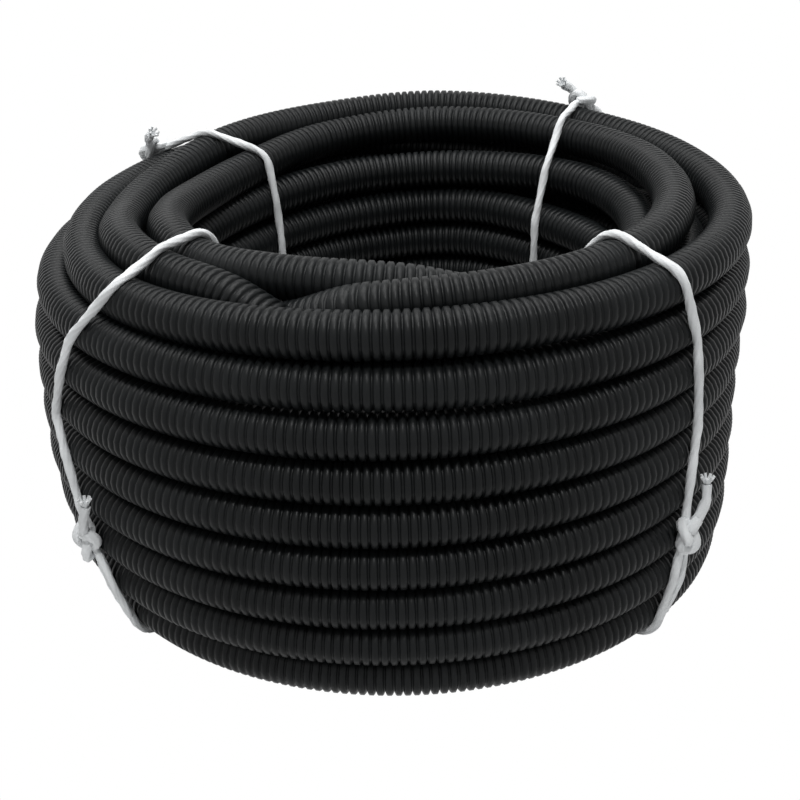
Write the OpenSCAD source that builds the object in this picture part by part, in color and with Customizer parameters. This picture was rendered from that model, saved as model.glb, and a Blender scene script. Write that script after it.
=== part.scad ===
// Coil of corrugated conduit, tied with four loops of twine.
// The winding is one turned solid: its section is the outline of the turns,
// stacked in columns that nest half a turn up and down beside each other.

/* [Conduit] */
// Outside diameter of the conduit over its ribs
conduit_od = 20; // [16:0.5:25]
// Air between a turn and the next one above it
turn_gap = 0.1; // [0.05:0.05:0.5]
// Room between two layers beyond a tight nest
layer_slack = 1.6; // [0.8:0.1:3]
// How far the solid reaches outside the turns' centres at a groove
groove_fill = 1.5; // [0.5:0.1:3]
// Flats round the section of a turn
turn_flats = 16; // [12:4:32]

/* [Coil] */
// Overall diameter of the coil at its widest turn
coil_od = 346; // [300:1:420]
// Turns stacked in one layer
rows = 9; // [5:1:12]
// Layers from the outside to the eye
layers = 3; // [2:1:4]
// Height of the widest turn, as a share of the stack
belly = 0.6; // [0.3:0.05:0.7]
// How far the top turn is drawn in from the widest
top_inset = 6; // [0:0.5:10]
// How far the bottom turn is drawn in from the widest
bottom_inset = 7; // [0:0.5:10]
// How far the top turn of a raised layer sinks in between its neighbours
top_sink = 6; // [0:0.5:9]

/* [Ties] */
// Thickness of the twine
twine_d = 3.6; // [2.5:0.1:5]
// Thickness of the twine where the coil stands on it
foot_t = 1.8; // [1:0.1:2.4]
// Width of the twine where the coil stands on it
foot_w = 6; // [4:0.5:9]
// Clearance between the twine and the turns it holds
twine_seat = 0.3; // [0.1:0.1:0.6]
// Direction of the front left tie, outside and in the eye
front_left_az = [-143, -139]; // [-180:1:180]
// Direction of the front right tie, outside and in the eye
front_right_az = [-45, -52]; // [-180:1:180]
// Direction of the back left tie, outside and in the eye
back_left_az = [146, 131]; // [-180:1:180]
// Direction of the back right tie, outside and in the eye
back_right_az = [52, 44]; // [-180:1:180]

/* [Knots] */
// Height of a front knot above the floor
knot_h = 56; // [40:1:80]
// Place of a back knot on the top turn, up from level
shoulder_rise = 50; // [30:5:70]
// Length of a knot
knot_l = 17; // [12:0.5:24]
// Width of a knot
knot_w = 11; // [8:0.5:14]
// Length of a knot's loose tail
tail_l = 24; // [12:1:36]

/* [Hidden] */

tube_r = conduit_od / 2;
pitch = conduit_od + turn_gap;
layer_step = sqrt(pow(conduit_od, 2) - pow(pitch / 2, 2)) + layer_slack;
base_z = foot_t + twine_seat;
outer_r = coil_od / 2 - tube_r;
knot_t = knot_w * 0.75;
twine_sides = 8;
side_step = 360 / twine_sides;
corner_step = 15;
conduit_colour = [0.09, 0.1, 0.1];
twine_colour = [0.84, 0.86, 0.86];

// How far a turn at a share h of the stack's height is drawn in
function inset(h) = h > belly
    ? top_inset * pow((h - belly) / (1 - belly), 3)
    : bottom_inset * pow((belly - h) / belly, 3);

// Centre of turn k, counted from below, in layer i, counted from outside.
// Every second layer lies half a turn higher, less the sink of its top turn.
function raise(k) = k == rows - 1 ? pitch / 2 - top_sink : pitch / 2;
function lift(i, k) = k + (i % 2) * raise(k) / pitch;
function turn(i, k) = [
    outer_r - i * layer_step - inset(lift(i, k) / (rows - 1)),
    base_z + tube_r + lift(i, k) * pitch
];

// Centres of the turns that show, round the section and with their side
outer_turns = [for (k = [0 : rows - 1]) turn(0, k)];
top_turns = [for (i = [1 : 1 : layers - 2]) turn(i, rows - 1)];
eye_turns = [for (k = [rows - 1 : -1 : 0]) turn(layers - 1, k)];
bottom_turns = [for (i = [layers - 2 : -1 : 1]) turn(i, 0)];
rim = concat(outer_turns, top_turns, eye_turns, bottom_turns);
core = concat(
    [for (c = outer_turns) c + [groove_fill, 0]],
    top_turns,
    [for (c = eye_turns) c - [groove_fill, 0]],
    bottom_turns
);

// Taut outline: the rim's turns that a band drawn round them touches
function upto(h, n) = [for (j = [0 : 1 : n]) h[j]];
function trim(h, p) =
    len(h) > 1 && cross(h[len(h) - 1] - h[len(h) - 2], p - h[len(h) - 1]) <= 0.01
        ? trim(upto(h, len(h) - 2), p)
        : concat(h, [p]);
function taut(pts, j = 0, h = []) = j == len(pts) ? h : taut(pts, j + 1, trim(h, pts[j]));
closed_band = taut(concat(rim, [rim[0]]));
band = upto(closed_band, len(closed_band) - 2);

// Direction in which the band faces on its way from turn p to turn q
function facing(p, q) = atan2(p[0] - q[0], q[1] - p[1]);
// Twine flattens from round to its foot as it turns to face the floor
function flatness(a) = pow(max(0, -sin(a)), 2);
function twine_t(a) = twine_d + (foot_t - twine_d) * flatness(a);
function twine_w(a) = twine_d + (foot_w - twine_d) * flatness(a);

// Stops of the twine's middle line: [radius, height, facing]
function stop(c, a) = let (off = tube_r + twine_seat + twine_t(a) / 2)
    [c[0] + off * cos(a), c[1] + off * sin(a), a];
function corner(j) =
    let (
        n = len(band),
        c = band[j],
        a0 = facing(band[(j + n - 1) % n], c),
        a1 = facing(c, band[(j + 1) % n]),
        sweep = (a1 - a0 + 720) % 360,
        steps = ceil(sweep / corner_step)
    )
    [for (s = [0 : steps]) stop(c, a0 + sweep * s / steps)];
stops = [for (j = [0 : len(band) - 1]) each corner(j)];

eye_r = turn(layers - 1, 0)[0] - tube_r;

// Direction round the coil of a tie at radius r
function azimuth(az, r) = az[0] + (az[1] - az[0]) * (coil_od / 2 - r) / (coil_od / 2 - eye_r);
function twine_ring(s, az) =
    let (
        a = s[2],
        reach = 1 / cos(side_step / 2),
        phi = azimuth(az, s[0])
    )
    [for (b = [0 : twine_sides - 1])
        let (
            out = twine_t(a) / 2 * reach * cos((b + 0.5) * side_step),
            across = twine_w(a) / 2 * reach * sin((b + 0.5) * side_step),
            r = s[0] + out * cos(a)
        )
        [
            r * cos(phi) - across * sin(phi),
            r * sin(phi) + across * cos(phi),
            s[1] + out * sin(a)
        ]
    ];

module twine_loop(az) {
    rings = [for (s = stops) each twine_ring(s, az)];
    n = len(stops);
    faces = [for (i = [0 : n - 1], b = [0 : twine_sides - 1])
        let (
            i2 = (i + 1) % n,
            b2 = (b + 1) % twine_sides
        )
        [
            i * twine_sides + b,
            i2 * twine_sides + b,
            i2 * twine_sides + b2,
            i * twine_sides + b2
        ]
    ];
    polyhedron(points = rings, faces = faces, convexity = 4);
}

// One strand through a list of points, in straight pieces
module strand(points, d) {
    for (i = [0 : len(points) - 2])
        hull() {
            translate(points[i]) sphere(d = d, $fn = 8);
            translate(points[i + 1]) sphere(d = d, $fn = 8);
        }
}

// Knot that lies on the twine: X points away from the coil, Z up along the twine
module knot() {
    half = (knot_l - knot_t) / 2;
    side = (knot_w - knot_t) / 2;
    strand([[0, -side, -half], [0, side, half]], knot_t);
    strand([[0, side, -half], [0, -side, half]], knot_t);
    strand([
        [0, -side, half],
        [knot_t * 0.2, -side, half + tail_l * 0.35],
        [knot_t * 0.5, 0, half + tail_l * 0.7],
        [knot_t * 0.4, side, half + tail_l]
    ], twine_d);
    strand([
        [0, side, -half],
        [knot_t * 0.3, side * 2, -half - tail_l * 0.3],
        [knot_t * 0.4, side * 2.5, -half - tail_l * 0.6]
    ], twine_d);
    strand([
        [0, -side, -half],
        [knot_t * 0.3, -side * 1.5, -half - tail_l * 0.3]
    ], twine_d);
}

// Places a knot on the outer side, at height h above the floor
module at_side(az, h) {
    share = (h - base_z - tube_r) / ((rows - 1) * pitch);
    r = coil_od / 2 - inset(share) + twine_seat + knot_t / 2;
    rotate([0, 0, az[0]]) translate([r, 0, h]) children();
}

// Places a knot on the top outer turn, its long tail down the outer side
module at_shoulder(az) {
    c = turn(0, rows - 1);
    off = tube_r + twine_seat + knot_t / 2;
    r = c[0] + off * cos(shoulder_rise);
    rotate([0, 0, azimuth(az, r)])
        translate([r, 0, c[1] + off * sin(shoulder_rise)])
            rotate([180, -shoulder_rise, 0]) children();
}

// Section of one turn: a corner points up, down, out and in
module turn_section() {
    polygon([for (j = [0 : turn_flats - 1])
        let (a = j * 360 / turn_flats) tube_r * [cos(a), sin(a)]
    ]);
}

module conduit_coil() {
    color(conduit_colour)
        rotate_extrude($fn = 144) {
            polygon(core);
            for (c = rim)
                translate(c) turn_section();
        }
}

module tie_front_left() {
    color(twine_colour) {
        twine_loop(front_left_az);
        at_side(front_left_az, knot_h) knot();
    }
}

module tie_front_right() {
    color(twine_colour) {
        twine_loop(front_right_az);
        at_side(front_right_az, knot_h) knot();
    }
}

module tie_back_left() {
    color(twine_colour) {
        twine_loop(back_left_az);
        at_shoulder(back_left_az) knot();
    }
}

module tie_back_right() {
    color(twine_colour) {
        twine_loop(back_right_az);
        at_shoulder(back_right_az) knot();
    }
}

conduit_coil();
tie_front_left();
tie_front_right();
tie_back_left();
tie_back_right();
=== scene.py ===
"""Looks of a tied coil of corrugated conduit: ribbed turns, twine ties with their knots, and a plain studio."""
import math

import bmesh
import bpy
from mathutils import Matrix, Vector


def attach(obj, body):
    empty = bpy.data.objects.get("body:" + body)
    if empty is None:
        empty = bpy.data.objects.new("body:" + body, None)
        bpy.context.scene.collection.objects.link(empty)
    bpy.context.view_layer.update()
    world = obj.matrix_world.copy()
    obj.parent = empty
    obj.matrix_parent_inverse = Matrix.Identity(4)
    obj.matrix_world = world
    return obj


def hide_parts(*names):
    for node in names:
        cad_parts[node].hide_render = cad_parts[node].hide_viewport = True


bl_info = {
    "name": "Corrugated Conduit Coil",
    "version": (1, 0, 0),
    "blender": (4, 5, 0),
    "location": "3D View > Sidebar > Conduit Coil",
    "description": "Builds a tied coil of corrugated conduit around its packed frame",
    "category": "Add Mesh",
}

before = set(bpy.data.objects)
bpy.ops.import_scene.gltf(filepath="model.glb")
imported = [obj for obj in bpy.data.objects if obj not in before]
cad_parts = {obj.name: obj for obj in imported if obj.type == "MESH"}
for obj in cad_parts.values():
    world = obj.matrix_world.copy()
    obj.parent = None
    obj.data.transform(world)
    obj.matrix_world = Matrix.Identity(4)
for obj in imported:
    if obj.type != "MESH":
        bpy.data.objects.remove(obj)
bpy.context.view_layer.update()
MM = 0.001

# ---------------------------------------------------------------- the winding
# Every path is a list of (direction in degrees, radius in mm, height in mm) of
# the conduit's centre line. Directions count up the way the conduit was wound.

ROWS = 9
ROW_RISE = 20.1
BOTTOM_ROW = 12.1
FRONT = -90

# Mean radius of each row of the outer layer from the bottom up, and how far the
# barrel leans out to the left at its widest
BARREL = [155, 160, 162, 163, 163, 163, 163, 161]
LEAN = 5

# A row climbs a little all the way round, and the rest in one step at the back left
EVEN_CLIMB = 0.2
STEP_START = 30
STEP_LENGTH = 160

# The top row: in from the back left, past the left and along the front
TOP_ROW = [
    (130, 160, 166),
    (160, 151, 167),
    (195, 149, 167),
    (230, 156, 170),
    (270, 158, 173),
    (320, 158, 174),
]

# It goes on past the right and round the back, over to the middle layer at the
# left, and down under the top row, where it passes round again out of sight
TOP_OUTER = [
    (0, 159, 174),
    (40, 163, 177),
    (80, 165, 181),
    (105, 158, 178),
    (130, 142, 177),
    (155, 133, 172),
    (180, 130, 171),
    (205, 134, 176),
    (225, 136, 176),
    (240, 137, 174),
    (254, 142, 163),
    (268, 144, 157),
    (320, 140, 158),
    (360, 140, 157),
    (400, 143, 147),
    (460, 139, 150),
    (520, 134, 150),
    (560, 128, 150),
    (595, 124, 152),
]

# The second strand on top: up from under the first, round the right and the
# back, over to the inner layer at the left, and down into the eye's first turn
TOP_INNER = [
    (-125, 124, 152),
    (-108, 129, 164),
    (-95, 137, 176),
    (-60, 139, 180),
    (-20, 133, 180),
    (10, 133, 180),
    (45, 143, 177),
    (80, 146, 176),
    (105, 138, 172),
    (130, 117, 169),
    (155, 108, 168),
    (180, 108, 171),
    (205, 112, 176),
    (225, 117, 176),
    (245, 118, 178),
    (270, 118, 177),
    (290, 119, 167),
    (315, 119, 159),
    (350, 118, 158),
    (395, 128, 159),
    (430, 124, 157),
    (460, 118, 154),
    (500, 109, 150),
    (540, 109, 147),
    (600, 112, 139),
    (680, 116, 137),
    (720, 114, 136),
]

# One turn of the eye's wall: direction, radius, and how far it has come down
# by there in the highest turn and in the lowest one
EYE_TURN = [
    (40, 117, 0, 0),
    (70, 121, 1, 0),
    (100, 114, -2, -1),
    (140, 107, -6, -1),
    (180, 108, -8, -2),
    (225, 114, -11, -3),
    (270, 118, -15, -5),
    (315, 117, -18, -10),
    (345, 117, -19, -16),
]
EYE_TURNS = 7
EYE_END = 225
EYE_TOP = 135

# One turn of the hidden middle layer: direction and level
MIDDLE_TURN = [
    (0, 0),
    (90, -1),
    (180, -2),
    (270, -4),
    (315, -10),
    (345, -16),
]
MIDDLE_TURNS = 5
MIDDLE_RISE = 22

# The lowest turn of the middle layer, and the way from it out to the outer one
UNDERSIDE = [
    (-520, 138, 24),
    (-470, 138, 22),
    (-330, 138, 22),
    (-290, 138, 19),
    (-260, 138, 15),
    (-230, 141, 13),
    (-210, 147, 12),
]


def on_turn(turn, radius, height):
    """The place at a direction in degrees, a radius and a height in mm."""
    angle = math.radians(turn)
    return Vector((radius * math.cos(angle), radius * math.sin(angle), height)) * MM


def spline(path, step=2.0):
    """Directions and points along a path, every step degrees, on a smooth curve through its values."""
    slopes = []
    for i, _ in enumerate(path):
        before, after = path[max(i - 1, 0)], path[min(i + 1, len(path) - 1)]
        span = after[0] - before[0]
        slopes.append([(after[k] - before[k]) / span for k in (1, 2)])
    points = []
    for i in range(len(path) - 1):
        start, end = path[i], path[i + 1]
        span = end[0] - start[0]
        count = max(1, round(span / step))
        last = i == len(path) - 2
        for j in range(count + (1 if last else 0)):
            t = j / count
            value = []
            for k in (1, 2):
                value.append(
                    (2 * t**3 - 3 * t**2 + 1) * start[k]
                    + (t**3 - 2 * t**2 + t) * span * slopes[i][k - 1]
                    + (3 * t**2 - 2 * t**3) * end[k]
                    + (t**3 - t**2) * span * slopes[i + 1][k - 1]
                )
            turn = start[0] + t * span
            points.append((turn, on_turn(turn, value[0], value[1])))
    return points


def ease(share):
    """A smooth way from 0 to 1."""
    share = min(1, max(0, share))
    return share * share * (3 - 2 * share)


def outer_row(row):
    """Path values of one turn of the outer layer, from the left round to the climb at the back left."""
    lean = LEAN * math.sin(math.pi * row / (ROWS - 1))
    values = []
    for turn in range(-180, 180, 20):
        radius = BARREL[row] - lean * math.cos(math.radians(turn))
        climb = EVEN_CLIMB * (turn - FRONT) / 360
        climb += (1 - EVEN_CLIMB) * ease((turn - STEP_START) / STEP_LENGTH)
        height = BOTTOM_ROW + ROW_RISE * (row + climb)
        values.append((turn + 360 * row, radius, max(height, BOTTOM_ROW)))
    return values


def outer_path():
    """Path values of the whole outer layer, from under the coil to its strand on top."""
    values = list(UNDERSIDE)
    for row in range(ROWS - 1):
        values += outer_row(row)
    values = [value for value in values if value[0] < 360 * (ROWS - 2) + 90]
    for lap, stretch in ((ROWS - 2, TOP_ROW), (ROWS - 1, TOP_OUTER)):
        values += [(turn + 360 * lap, radius, height) for turn, radius, height in stretch]
    return values


def middle_path():
    """Path values of the hidden middle layer, down to its lowest turn."""
    last, _, bottom = UNDERSIDE[0]
    values = []
    for row in range(MIDDLE_TURNS, 0, -1):
        radius = 138 + 4 * math.sin(math.pi * row / 6)
        for turn, level in MIDDLE_TURN:
            values.append((last + turn - 360 * row, radius, bottom + MIDDLE_RISE * row + level))
    return values + UNDERSIDE[:1]


def inner_path():
    """Path values of the second strand on top and of the eye's wall down to the floor."""
    values = list(TOP_INNER)
    for row in range(EYE_TURNS):
        share = row / (EYE_TURNS - 1)
        for turn, radius, high, low in EYE_TURN:
            if share == 1 and turn > EYE_END:
                break
            height = EYE_TOP - row * ROW_RISE + high + share * (low - high)
            values.append((turn + 360 * (row + 2), radius, max(height, BOTTOM_ROW)))
    return values


# ---------------------------------------------------------------- node helpers


class Wire:
    """A value in a node tree, so that sums on it are written as ordinary arithmetic."""

    def __init__(self, tree, socket):
        self.tree = tree
        self.socket = socket

    def _math(self, operation, first, second=None):
        values = {0: first} if second is None else {0: first, 1: second}
        return self.tree.node("ShaderNodeMath", {"operation": operation}, values)

    def __add__(self, other):
        return self._math("ADD", self, other)

    def __radd__(self, other):
        return self._math("ADD", other, self)

    def __sub__(self, other):
        return self._math("SUBTRACT", self, other)

    def __rsub__(self, other):
        return self._math("SUBTRACT", other, self)

    def __mul__(self, other):
        return self._math("MULTIPLY", self, other)

    def __rmul__(self, other):
        return self._math("MULTIPLY", other, self)

    def __truediv__(self, other):
        return self._math("DIVIDE", self, other)

    def __mod__(self, other):
        return self._math("MODULO", self, other)

    def __gt__(self, other):
        return self._math("GREATER_THAN", self, other)

    def floor(self):
        return self._math("FLOOR", self)

    def round(self):
        return self._math("ROUND", self)

    def sine(self):
        return self._math("SINE", self)


class Tree:
    """A node tree under construction."""

    def __init__(self, tree):
        self.tree = tree

    def link(self, value, socket):
        """Puts a wire or a constant into a socket."""
        if isinstance(value, Wire):
            self.tree.links.new(value.socket, socket)
        else:
            socket.default_value = value

    def node(self, kind, settings=None, values=None, output=0):
        """Adds a node with its settings and the values or wires of its sockets, and returns one output."""
        node = self.tree.nodes.new(kind)
        for name, setting in (settings or {}).items():
            setattr(node, name, setting)
        for name, value in (values or {}).items():
            self.link(value, node.inputs[name])
        return Wire(self, node.outputs[output])

    def switch(self, index, choices):
        """The choice that stands at index, from a list of numbers."""
        node = self.tree.nodes.new("GeometryNodeIndexSwitch")
        node.data_type = "FLOAT"
        while len(node.index_switch_items) < len(choices):
            node.index_switch_items.new()
        self.link(index, node.inputs[0])
        for place, choice in enumerate(choices):
            node.inputs[place + 1].default_value = choice
        return Wire(self, node.outputs[0])

    def ramp(self, factor, stops):
        """A colour ramp with stops of (position, colour)."""
        node = self.tree.nodes.new("ShaderNodeValToRGB")
        elements = node.color_ramp.elements
        while len(elements) < len(stops):
            elements.new(0.5)
        for element, (position, colour) in zip(elements, stops):
            element.position = position
            element.color = (*colour, 1)
        self.link(factor, node.inputs[0])
        return Wire(self, node.outputs[0])

    def mix(self, factor, first, second):
        """A colour between two."""
        node = self.tree.nodes.new("ShaderNodeMix")
        node.data_type = "RGBA"
        self.link(factor, node.inputs["Factor"])
        for name, value in (("A", first), ("B", second)):
            socket = next(s for s in node.inputs if s.name == name and s.type == "RGBA")
            self.link(value if isinstance(value, Wire) else (*value, 1), socket)
        return Wire(self, next(s for s in node.outputs if s.type == "RGBA"))


def group_tree(name, inputs):
    """A geometry node group with a geometry input and output and the named sizes; returns it with its input wires."""
    group = bpy.data.node_groups.new(name, "GeometryNodeTree")
    face = group.interface
    face.new_socket("Geometry", in_out="INPUT", socket_type="NodeSocketGeometry")
    for label, kind in inputs:
        face.new_socket(label, in_out="INPUT", socket_type=kind)
    face.new_socket("Geometry", in_out="OUTPUT", socket_type="NodeSocketGeometry")
    tree = Tree(group)
    node = group.nodes.new("NodeGroupInput")
    wires = {socket.name: Wire(tree, socket) for socket in node.outputs if socket.name}
    return tree, wires


def finish_tree(tree, geometry, material):
    """Ends a geometry tree in real geometry with its material."""
    real = tree.node("GeometryNodeRealizeInstances", values={"Geometry": geometry})
    done = tree.node("GeometryNodeSetMaterial", values={"Geometry": real, "Material": material})
    output = tree.tree.nodes.new("NodeGroupOutput")
    tree.link(done, output.inputs[0])
    return tree.tree


# One rib of the conduit, as shares of its pitch and of the groove's depth:
# the bottom of the groove, its shoulder, the crest from end to end, and the
# other shoulder
RIB_PLACES = (0.0, 0.14, 0.27, 0.73, 0.86)
RIB_DEPTHS = (1.0, 0.3, 0.0, 0.0, 0.3)


def corrugated_tube_tree():
    """Geometry nodes that turn a path into corrugated conduit with flat, filled ends, which hollow_end opens
    afterwards.
    """
    tree, wires = group_tree(
        "Corrugated Tube",
        [
            ("Outside Diameter", "NodeSocketFloat"),
            ("Rib Pitch", "NodeSocketFloat"),
            ("Groove Depth", "NodeSocketFloat"),
            ("Sides", "NodeSocketInt"),
            ("Material", "NodeSocketMaterial"),
        ],
    )
    path = wires["Geometry"]
    rings = len(RIB_PLACES)
    length = tree.node("GeometryNodeCurveLength", values={"Curve": path})
    ribs = (length / wires["Rib Pitch"]).round()
    index = tree.node("GeometryNodeInputIndex")
    rib = (index / rings).floor()
    ring = index % rings
    evenly = tree.node(
        "GeometryNodeResampleCurve",
        {"mode": "COUNT"},
        {"Curve": path, "Count": ribs * rings + 1},
    )
    along = (rib + tree.switch(ring, RIB_PLACES)) * (length / ribs)
    spot = tree.node(
        "GeometryNodeSampleCurve",
        {"mode": "LENGTH"},
        {"Curves": path, "Length": along},
        output="Position",
    )
    placed = tree.node("GeometryNodeSetPosition", values={"Geometry": evenly, "Position": spot})
    radius = wires["Outside Diameter"] / 2 - wires["Groove Depth"] * tree.switch(ring, RIB_DEPTHS)
    circle = tree.node(
        "GeometryNodeCurvePrimitiveCircle",
        values={"Resolution": wires["Sides"], "Radius": 1.0},
    )
    tube = tree.node(
        "GeometryNodeCurveToMesh",
        values={"Curve": placed, "Profile Curve": circle, "Scale": radius, "Fill Caps": True},
    )
    smooth = tree.node("GeometryNodeSetShadeSmooth", values={"Geometry": tube})
    return finish_tree(tree, smooth, wires["Material"])


def baked_path(name, points, tree, values, closed=False):
    """A plain mesh made by a geometry tree from a path; values are its named inputs."""
    data = bpy.data.curves.new(name, "CURVE")
    data.dimensions = "3D"
    line = data.splines.new("POLY")
    line.points.add(len(points) - 1)
    for point, place in zip(line.points, points):
        point.co = (*place, 1)
    line.use_cyclic_u = closed
    path = bpy.data.objects.new(name, data)
    bpy.context.scene.collection.objects.link(path)
    maker = path.modifiers.new("Maker", "NODES")
    maker.node_group = tree
    for item in tree.interface.items_tree:
        if item.in_out == "INPUT" and item.name in values:
            maker[item.identifier] = values[item.name]
    bpy.context.view_layer.update()
    graph = bpy.context.evaluated_depsgraph_get()
    mesh = bpy.data.meshes.new_from_object(path.evaluated_get(graph), depsgraph=graph)
    mesh.name = name
    path.modifiers.remove(maker)
    bpy.data.objects.remove(path)
    bpy.data.curves.remove(data)
    return mesh


def add_piece(name, mesh, slot, *nodes):
    """Puts a finished mesh in the scene as a piece that stands for CAD nodes."""
    piece = bpy.data.objects.new(name, mesh)
    bpy.context.scene.collection.objects.link(piece)
    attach(piece, "root")
    if nodes:
        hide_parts(*nodes)
    return piece


# ---------------------------------------------------------------- materials


def new_material(name):
    """An empty material with its tree, its shader and its object coordinates."""
    material = bpy.data.materials.new(name)
    material.use_nodes = True
    material.node_tree.nodes.clear()
    tree = Tree(material.node_tree)
    shader = material.node_tree.nodes.new("ShaderNodeBsdfPrincipled")
    output = material.node_tree.nodes.new("ShaderNodeOutputMaterial")
    material.node_tree.links.new(shader.outputs[0], output.inputs[0])
    place = tree.node("ShaderNodeTexCoord", output="Object")
    return material, tree, shader, place


def conduit_material(settings):
    """Matte black moulded plastic with a faint bloom and handling marks."""
    material, tree, shader, place = new_material("conduit_black")
    broad = tree.node(
        "ShaderNodeTexNoise",
        values={"Vector": place, "Scale": 22.0, "Detail": 3.0, "Roughness": 0.5},
    )
    fine = tree.node(
        "ShaderNodeTexNoise",
        values={"Vector": place, "Scale": 900.0, "Detail": 2.0, "Roughness": 0.6},
    )
    base = tuple(settings.colour)
    dusty = tuple(channel * 1.6 + 0.002 for channel in base)
    colour = tree.mix(tree.ramp(broad, [(0.35, (0, 0, 0)), (0.75, (1, 1, 1))]), base, dusty)
    tree.link(colour, shader.inputs["Base Color"])
    tree.link(0.3 + 0.14 * broad + 0.06 * fine, shader.inputs["Roughness"])
    bump = tree.node(
        "ShaderNodeBump",
        values={"Strength": 0.12, "Distance": 0.0004, "Height": fine},
    )
    tree.link(bump, shader.inputs["Normal"])
    shader.inputs["Specular IOR Level"].default_value = 0.13
    return material


# ---------------------------------------------------------------- settings


class ConduitSettings(bpy.types.PropertyGroup):
    """Sizes and colour of the conduit."""

    diameter: bpy.props.FloatProperty(
        name="Outside Diameter",
        description="Diameter of the conduit over its ribs",
        default=0.02,
        unit="LENGTH",
    )
    rib_pitch: bpy.props.FloatProperty(
        name="Rib Pitch",
        description="Distance from one rib to the next",
        default=0.0038,
        unit="LENGTH",
    )
    groove: bpy.props.FloatProperty(
        name="Groove Depth",
        description="How deep the groove between two ribs is",
        default=0.0018,
        unit="LENGTH",
    )
    wall: bpy.props.FloatProperty(
        name="Wall",
        description="Thickness of the wall at an open end",
        default=0.001,
        unit="LENGTH",
    )
    sides: bpy.props.IntProperty(
        name="Sides",
        description="Flats round the conduit",
        default=16,
    )
    colour: bpy.props.FloatVectorProperty(
        name="Colour",
        description="Colour of the plastic",
        default=(0.004, 0.0047, 0.005),
        subtype="COLOR",
    )


class TwineSettings(bpy.types.PropertyGroup):
    """Sizes and colour of the ties."""

    thickness: bpy.props.FloatProperty(
        name="Thickness",
        description="Thickness of the twine",
        default=0.0042,
        unit="LENGTH",
    )
    lay: bpy.props.FloatProperty(
        name="Lay",
        description="Length of one full twist of the twine",
        default=0.05,
        unit="LENGTH",
    )
    knot_size: bpy.props.FloatProperty(
        name="Knot Size",
        description="Length of a knot without its tails",
        default=0.017,
        unit="LENGTH",
    )
    colour: bpy.props.FloatVectorProperty(
        name="Colour",
        description="Colour of the fibres",
        default=(0.78, 0.8, 0.81),
        subtype="COLOR",
    )


class StudioSettings(bpy.types.PropertyGroup):
    """Camera and lights."""

    focal_length: bpy.props.FloatProperty(
        name="Focal Length",
        description="Focal length of the camera in millimetres",
        default=58.6,
        unit="CAMERA",
    )
    daylight: bpy.props.FloatProperty(
        name="Room Light",
        description="Strength of the light that comes from all round",
        default=0.22,
    )


# ---------------------------------------------------------------- operators


def tube_values(settings, sides):
    """Named inputs of the corrugated tube."""
    return {
        "Outside Diameter": settings.diameter,
        "Rib Pitch": settings.rib_pitch,
        "Groove Depth": settings.groove,
        "Sides": sides,
        "Material": bpy.data.materials["conduit_black"],
    }


def tube_tree():
    """The shared tree of the corrugated tube, made on first use."""
    return bpy.data.node_groups.get("Corrugated Tube") or corrugated_tube_tree()


def hollow_end(mesh, settings):
    """Opens the flat ends of a tube into its bore."""
    shape = bmesh.new()
    shape.from_mesh(mesh)
    for cap in [face for face in shape.faces if len(face.verts) > 4]:
        bmesh.ops.inset_region(shape, faces=[cap], thickness=settings.wall)
        bmesh.ops.inset_region(shape, faces=[cap], thickness=0.0002, depth=-0.6 * settings.diameter)
    shape.to_mesh(mesh)
    shape.free()


STRANDS = []


def add_turns(name, path, first, last, settings, sides):
    """One piece of conduit: the stretch of a path between two directions."""
    if "conduit_black" not in bpy.data.materials:
        conduit_material(settings)
    points = [place for turn, place in spline(path) if first <= turn <= last]
    STRANDS.extend(points)
    mesh = baked_path(name, points, tube_tree(), tube_values(settings, sides))
    if not mesh.polygons:
        raise RuntimeError(f"{name} came out empty")
    hollow_end(mesh, settings)
    return add_piece(name, mesh, "conduit", "conduit_coil")


class CONDUIT_OT_outer_turns(bpy.types.Operator):
    """Winds the outer layer, row on row, and its strand on top"""

    bl_idname = "conduit.outer_turns"
    bl_label = "Outer Turns"

    def execute(self, context):
        settings = context.scene.conduit
        path = outer_path()
        low, middle, high = 360 * 3 - 180, 360 * 6 - 180, 360 * 8
        add_turns("outer_turns_low", path, path[0][0], low, settings, settings.sides)
        add_turns("outer_turns_middle", path, low, middle, settings, settings.sides)
        add_turns("outer_turns_high", path, middle, high, settings, settings.sides)
        add_turns("outer_turns_top", path, high, 360 * 10, settings, settings.sides)
        return {"FINISHED"}


class CONDUIT_OT_middle_turns(bpy.types.Operator):
    """Winds the hidden middle layer that carries the turns on both sides"""

    bl_idname = "conduit.middle_turns"
    bl_label = "Middle Turns"

    def execute(self, context):
        path = middle_path()
        add_turns("middle_turns", path, path[0][0], path[-1][0], context.scene.conduit, 8)
        return {"FINISHED"}


class CONDUIT_OT_inner_turns(bpy.types.Operator):
    """Lays the second strand on top and winds the eye's wall down from it"""

    bl_idname = "conduit.inner_turns"
    bl_label = "Inner Turns"

    def execute(self, context):
        settings = context.scene.conduit
        path = inner_path()
        add_turns("inner_turns_top", path, path[0][0], 720, settings, settings.sides)
        add_turns("inner_turns_low", path, 720, 360 * 10, settings, 12)
        return {"FINISHED"}


# ---------------------------------------------------------------- the ties


# Each tie: its direction on the eye's side, its directions down the outer side
# with their heights in mm, and the height of its knot, or none for one on top
TIES = {
    "tie_front_left": (-139, [(186, -133), (150, -143), (110, -149), (56, -143), (0, -139)], 56),
    "tie_front_right": (-50, [(186, -48), (150, -44), (110, -42), (56, -43), (0, -46)], 56),
    "tie_back_left": (131, [(186, 143), (110, 146), (0, 146)], None),
    "tie_back_right": (44, [(186, 51), (110, 53), (0, 52)], None),
}


def between(values, x):
    """The value at x on the straight lines through a list of (x, value) in falling order."""
    for (high, first), (low, second) in zip(values, values[1:]):
        if x >= low:
            share = min(1, (high - x) / (high - low))
            return first + max(0, share) * (second - first)
    return values[-1][1]


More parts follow.
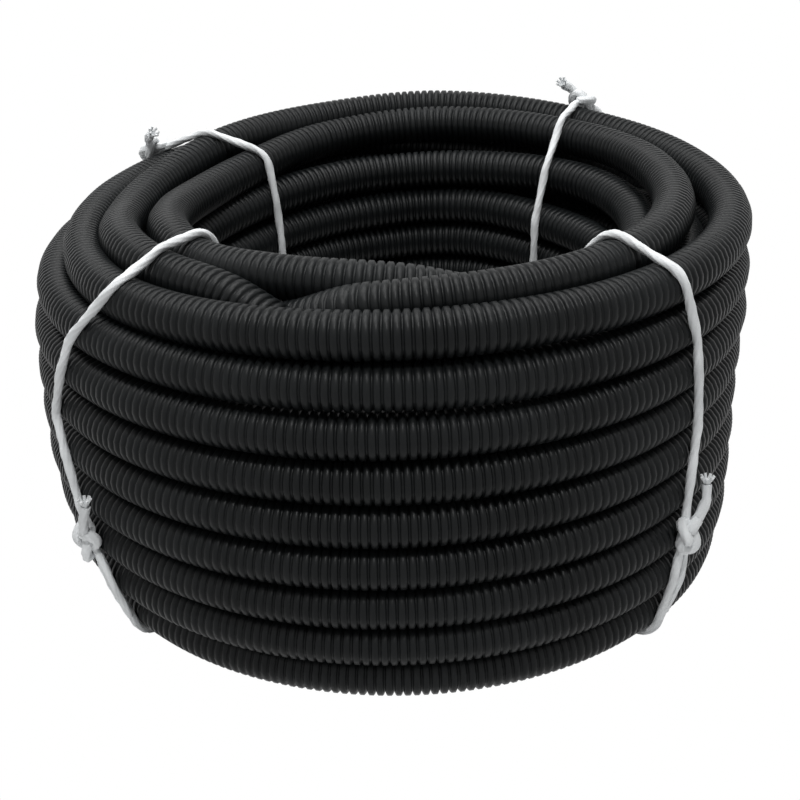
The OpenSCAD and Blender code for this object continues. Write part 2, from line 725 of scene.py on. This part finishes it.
def tie_direction(tie, radius, height):
    """Direction in degrees in which a tie stands at a radius and a height in mm."""
    inner, outer, _ = TIES[tie]
    share = max(0, min(1, (radius - 105) / 60))
    return inner + share * (between(outer, height) - inner)


def taut_loop(tie, gap):
    """The (radius, height) corners of a loop pulled tight round the strands that a tie crosses."""
    dots = set()
    for place in STRANDS:
        radius = place.xy.length / MM
        height = place.z / MM
        turn = math.degrees(math.atan2(place.y, place.x))
        if abs(turn - tie_direction(tie, radius, height)) > 1.6:
            continue
        for angle in range(0, 360, 8):
            side = math.radians(angle)
            dots.add((radius + gap * math.cos(side), max(1.3, height + gap * math.sin(side))))
    if len(dots) < 100:
        raise RuntimeError(f"{tie} crosses no strands")
    loop = []
    for order in (sorted(dots), sorted(dots, reverse=True)):
        half = []
        for dot in order:
            while len(half) > 1:
                (ax, ay), (bx, by) = half[-2:]
                if (bx - ax) * (dot[1] - ay) > (by - ay) * (dot[0] - ax):
                    break
                half.pop()
            half.append(dot)
        loop += half[:-1]
    return loop


def tie_path(tie, gap):
    """Points of a tie's loop, every few millimetres."""
    loop = taut_loop(tie, gap)
    points = []
    for (ar, ah), (br, bh) in zip(loop, loop[1:] + loop[:1]):
        count = max(1, round(math.hypot(br - ar, bh - ah) / 4))
        for i in range(count):
            radius = ar + (br - ar) * i / count
            height = ah + (bh - ah) * i / count
            points.append(on_turn(tie_direction(tie, radius, height), radius, height))
    return points


def twine_tree():
    """Geometry nodes that turn a path into soft twisted twine."""
    tree, wires = group_tree(
        "Twine",
        [
            ("Thickness", "NodeSocketFloat"),
            ("Lay", "NodeSocketFloat"),
            ("Unevenness", "NodeSocketFloat"),
            ("Material", "NodeSocketMaterial"),
        ],
    )
    even = tree.node(
        "GeometryNodeResampleCurve",
        {"mode": "LENGTH"},
        {"Curve": wires["Geometry"], "Length": 0.0014},
    )
    along = tree.node("GeometryNodeSplineParameter", output="Length")
    turned = tree.node(
        "GeometryNodeSetCurveTilt",
        values={"Curve": even, "Tilt": along * (2 * math.pi) / wires["Lay"]},
    )
    circle = tree.node(
        "GeometryNodeCurvePrimitiveCircle",
        values={"Resolution": 18, "Radius": 1.0},
    )
    index = tree.node("GeometryNodeInputIndex")
    swell = 1 + 0.08 * (index * (2 * math.pi / 3)).sine()
    place = tree.node("GeometryNodeInputPosition")
    flat = tree.node(
        "ShaderNodeVectorMath",
        {"operation": "MULTIPLY"},
        {0: place, 1: (1.0, 0.86, 1.0)},
    )
    node = tree.tree.nodes.new("ShaderNodeVectorMath")
    node.operation = "SCALE"
    tree.link(flat, node.inputs[0])
    tree.link(swell, node.inputs["Scale"])
    profile = tree.node(
        "GeometryNodeSetPosition",
        values={"Geometry": circle, "Position": Wire(tree, node.outputs[0])},
    )
    noise = tree.node("ShaderNodeTexNoise", values={"Scale": 160.0, "Detail": 2.0})
    size = wires["Thickness"] / 2 * (1 + wires["Unevenness"] * (noise - 0.5))
    cord = tree.node(
        "GeometryNodeCurveToMesh",
        values={"Curve": turned, "Profile Curve": profile, "Scale": size, "Fill Caps": True},
    )
    smooth = tree.node("GeometryNodeSetShadeSmooth", values={"Geometry": cord})
    return finish_tree(tree, smooth, wires["Material"])


def twine_material(settings):
    """Off-white fibrous twine, a little soiled."""
    material, tree, shader, place = new_material("twine_white")
    broad = tree.node("ShaderNodeTexNoise", values={"Vector": place, "Scale": 60.0, "Detail": 4.0})
    fine = tree.node("ShaderNodeTexNoise", values={"Vector": place, "Scale": 1400.0, "Detail": 3.0})
    base = tuple(settings.colour)
    soiled = tuple(0.7 * channel for channel in base)
    colour = tree.mix(tree.ramp(broad, [(0.4, (0, 0, 0)), (0.8, (1, 1, 1))]), base, soiled)
    tree.link(colour, shader.inputs["Base Color"])
    tree.link(0.75 + 0.15 * fine, shader.inputs["Roughness"])
    bump = tree.node("ShaderNodeBump", values={"Strength": 0.5, "Distance": 0.0005, "Height": fine})
    tree.link(bump, shader.inputs["Normal"])
    shader.inputs["Specular IOR Level"].default_value = 0.2
    return material


def knot_paths(centre, out, up, size, reach):
    """Paths of an overhand knot, its loose tail and a short lower end; reach is how far the ends go."""
    side = up.cross(out).normalized()
    knot = []
    for i in range(48):
        t = 2 * math.pi * i / 48
        wide = (math.sin(t) + 2 * math.sin(2 * t)) / 3
        tall = (math.cos(t) - 2 * math.cos(2 * t)) / 3
        deep = -math.sin(3 * t)
        knot.append(centre + side * (wide * 0.36 * size) + up * (tall * 0.5 * size) + out * (deep * 0.14 * size))
    tail = [
        centre + side * (across * size) + up * (rise * reach * size) + out * (off * size)
        for across, rise, off in ((0.05, 0, 0), (0.25, 0.5, 0.15), (0.42, 0.9, 0.2), (0.5, 1.3, 0.12))
    ]
    lower = [
        centre + side * (across * size) + up * (rise * reach * size) + out * (off * size)
        for across, rise, off in ((0, 0, 0), (-0.35, -0.7, 0.02), (-0.45, -1.2, -0.05))
    ]
    return knot, tail, lower


def second_strand(loop, centre, side, low):
    """A strand beside a loop, from a knot down to the height low, bowed out to one side."""
    near = [place for place in loop if place.xy.dot(centre.xy) > 0 and place.xy.length > 0.9 * centre.xy.length]
    near = [place for place in near if low < place.z < centre.z]
    near.sort(key=lambda place: -place.z)
    strand = [centre]
    for i, place in enumerate(near):
        bow = math.sin(math.pi * (i + 1) / (len(near) + 1))
        strand.append(place + side * (0.0055 * bow) + Vector((*place.xy.normalized(), 0)) * 0.0008)
    return strand


class CONDUIT_OT_ties(bpy.types.Operator):
    """Ties the coil with four loops of twine, each with its knot"""

    bl_idname = "conduit.ties"
    bl_label = "Ties"

    def execute(self, context):
        settings = context.scene.twine
        material = twine_material(settings)
        tree = twine_tree()
        values = {
            "Thickness": settings.thickness,
            "Lay": settings.lay,
            "Unevenness": 0.3,
            "Material": material,
        }
        gap = (context.scene.conduit.diameter + 0.75 * settings.thickness) / 2 / MM
        for tie, (_, _, knot_height) in TIES.items():
            loop = tie_path(tie, gap)
            if knot_height is None:
                spot = max(loop, key=lambda place: place.z + 0.9 * place.xy.length)
                out = Vector((*(spot.xy.normalized() * 0.67), 0.74))
            else:
                near = [place for place in loop if place.xy.length / MM > 150]
                spot = min(near, key=lambda place: abs(place.z / MM - knot_height))
                out = Vector((*spot.xy.normalized(), 0))
            up = Vector((0, 0, 1)) - out * out.z
            up.normalize()
            size = settings.knot_size
            reach = 0.6 if knot_height is None else 1.0
            centre = spot + out * 0.0025
            knot, tail, lower = knot_paths(centre, out, up, size, reach)
            if knot_height is not None:
                lower = second_strand(loop, centre, up.cross(out), 0.012)
            shape = bmesh.new()
            for path, closed, thickness in (
                (loop, True, 1.0),
                (knot, True, 1.25),
                (tail, False, 1.15),
                (lower, False, 0.8),
            ):
                values["Thickness"] = settings.thickness * thickness
                part = baked_path(tie, path, tree, values, closed)
                shape.from_mesh(part)
                bpy.data.meshes.remove(part)
            ply = 0.34 * settings.thickness
            for i in range(7):
                angle = 2 * math.pi * i / 7
                spread = (up.cross(out) * math.cos(angle) + out * math.sin(angle)) * size
                start = tail[-1] - up * 0.001
                path = [start, start + up * 0.15 * size + spread * 0.08, start + up * 0.3 * size + spread * 0.17]
                values["Thickness"] = ply
                part = baked_path(tie, path, tree, values)
                shape.from_mesh(part)
                bpy.data.meshes.remove(part)
            for corner in shape.verts:
                corner.co.z = max(corner.co.z, 0.0)
            mesh = bpy.data.meshes.new(tie)
            shape.to_mesh(mesh)
            shape.free()
            mesh.materials.append(material)
            add_piece(tie + "_twine", mesh, "twine", tie)
        return {"FINISHED"}


class CONDUIT_OT_studio(bpy.types.Operator):
    """Sets the floor, the light and the camera"""

    bl_idname = "conduit.studio"
    bl_label = "Studio"

    def execute(self, context):
        scene = context.scene
        settings = scene.studio
        scene.view_settings.view_transform = "Standard"

        mesh = bpy.data.meshes.new("floor")
        shape = bmesh.new()
        bmesh.ops.create_grid(shape, x_segments=1, y_segments=1, size=6)
        shape.to_mesh(mesh)
        shape.free()
        floor = bpy.data.objects.new("floor", mesh)
        scene.collection.objects.link(floor)
        material = bpy.data.materials.new("floor_white")
        material.use_nodes = True
        material.node_tree.nodes.clear()
        tree = Tree(material.node_tree)
        rays = material.node_tree.nodes.new("ShaderNodeLightPath")
        seen = Wire(tree, rays.outputs["Is Camera Ray"])
        mirrored = Wire(tree, rays.outputs["Is Glossy Ray"])
        through = Wire(tree, rays.outputs["Is Transmission Ray"])
        bare = (seen + mirrored + through) > 0.5
        paint = tree.node("ShaderNodeBsdfDiffuse", values={"Color": (0.8, 0.8, 0.8, 1)})
        glow = tree.node("ShaderNodeEmission", values={"Color": (1, 1, 1, 1), "Strength": 1.0})
        both = tree.node("ShaderNodeMixShader", values={0: bare, 1: paint, 2: glow})
        output = material.node_tree.nodes.new("ShaderNodeOutputMaterial")
        tree.link(both, output.inputs[0])
        mesh.materials.append(material)

        world = bpy.data.worlds.new("room")
        scene.world = world
        world.use_nodes = True
        world.node_tree.nodes.clear()
        tree = Tree(world.node_tree)
        rays = world.node_tree.nodes.new("ShaderNodeLightPath")
        seen = Wire(tree, rays.outputs["Is Camera Ray"])
        mirrored = Wire(tree, rays.outputs["Is Glossy Ray"])
        through = Wire(tree, rays.outputs["Is Transmission Ray"])
        bare = (seen + mirrored + through) > 0.5
        strength = settings.daylight + (1 - settings.daylight) * bare
        light = tree.node("ShaderNodeBackground", values={"Color": (1, 1, 1, 1), "Strength": strength})
        output = world.node_tree.nodes.new("ShaderNodeOutputWorld")
        tree.link(light, output.inputs[0])

        for name, place, size, power in (
            ("top_light", (-0.2, 0.2, 1.6), 1.2, 26),
            ("front_light", (0.15, -0.9, 1.9), 0.16, 16),
        ):
            lamp = bpy.data.lights.new(name, "AREA")
            lamp.shape = "SQUARE"
            lamp.size = size
            lamp.energy = power
            stand = bpy.data.objects.new(name, lamp)
            scene.collection.objects.link(stand)
            stand.location = place
            aim = Vector((0, 0, 0.1)) - Vector(place)
            stand.rotation_euler = aim.to_track_quat("-Z", "Y").to_euler()

        lens = bpy.data.cameras.new("camera")
        lens.sensor_width = 36
        lens.lens = settings.focal_length
        camera = bpy.data.objects.new("camera", lens)
        scene.collection.objects.link(camera)
        tip = Matrix.Rotation(math.radians(63.7), 4, "X")
        roll = Matrix.Rotation(math.radians(-1.3), 4, "Z")
        camera.matrix_world = Matrix.Translation((0, -0.61, 0.369)) @ tip @ roll
        scene.camera = camera
        return {"FINISHED"}


class CONDUIT_PT_panel(bpy.types.Panel):
    """Lists the settings and the steps of the coil"""

    bl_label = "Conduit Coil"
    bl_idname = "CONDUIT_PT_panel"
    bl_space_type = "VIEW_3D"
    bl_region_type = "UI"
    bl_category = "Conduit Coil"

    def draw(self, context):
        layout = self.layout
        for settings in (context.scene.conduit, context.scene.twine, context.scene.studio):
            for name in settings.__annotations__:
                layout.prop(settings, name)
        for operator in OPERATORS:
            layout.operator(operator.bl_idname)


OPERATORS = (
    CONDUIT_OT_outer_turns,
    CONDUIT_OT_middle_turns,
    CONDUIT_OT_inner_turns,
    CONDUIT_OT_ties,
    CONDUIT_OT_studio,
)
CLASSES = (ConduitSettings, TwineSettings, StudioSettings, *OPERATORS, CONDUIT_PT_panel)


def register():
    """Adds the classes and their settings to Blender."""
    for item in CLASSES:
        bpy.utils.register_class(item)
    bpy.types.Scene.conduit = bpy.props.PointerProperty(type=ConduitSettings)
    bpy.types.Scene.twine = bpy.props.PointerProperty(type=TwineSettings)
    bpy.types.Scene.studio = bpy.props.PointerProperty(type=StudioSettings)


def unregister():
    """Takes them out again."""
    del bpy.types.Scene.studio
    del bpy.types.Scene.twine
    del bpy.types.Scene.conduit
    for item in reversed(CLASSES):
        bpy.utils.unregister_class(item)


def main():
    """Builds every piece in order."""
    register()
    bpy.ops.conduit.outer_turns()
    bpy.ops.conduit.middle_turns()
    bpy.ops.conduit.inner_turns()
    bpy.ops.conduit.ties()
    bpy.ops.conduit.studio()


if __name__ == "__main__":
    main()
